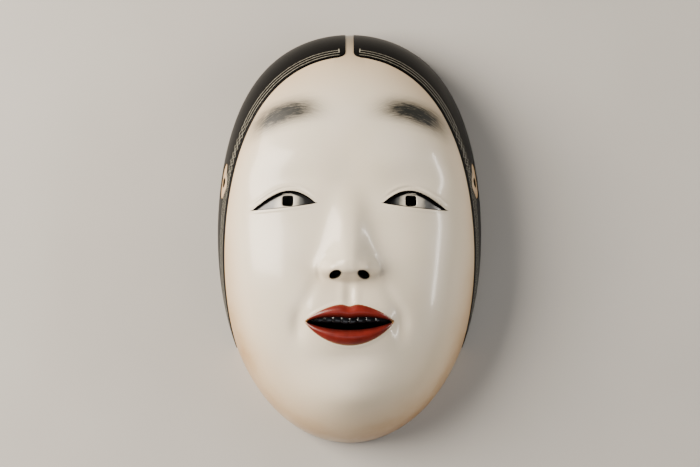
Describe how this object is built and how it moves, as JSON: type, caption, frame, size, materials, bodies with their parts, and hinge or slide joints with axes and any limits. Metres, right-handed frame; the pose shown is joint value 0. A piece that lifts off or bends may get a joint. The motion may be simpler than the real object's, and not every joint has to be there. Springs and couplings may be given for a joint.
{
  "type": "noh mask",
  "caption": "Carved and painted wooden theatre mask of a calm young woman, hollow behind, with pierced pupils and a cord hole at each side.",
  "frame": {"origin": "middle of the space inside the back rim, on the plane that the rim rests on", "axes": "+X to the right of someone facing the mask, +Y towards the crown, +Z out of the face"},
  "size_m": [0.137, 0.2123, 0.0699],
  "materials": {
    "cypress": "bare planed and chiselled cypress, at the rim",
    "shell_white": "polished shell-white ground, satin",
    "hair_black": "ink black under a polished glaze",
    "lip_red": "vermilion, satin",
    "eye_white": "shell white shaded with ink",
    "tooth_black": "glossy black over the carved teeth",
    "inner_lacquer": "dark brown lacquer over chisel marks"
  },
  "bodies": {
    "root": {"wood_body": "cypress", "ground_coat": "shell_white", "hair_right": "hair_black", "hair_left": "hair_black", "upper_lip": "lip_red", "lower_lip": "lip_red", "eye_right": "eye_white", "eye_left": "eye_white", "upper_teeth": "tooth_black", "lacquer_lining": "inner_lacquer"}
  },
  "joints": []
}
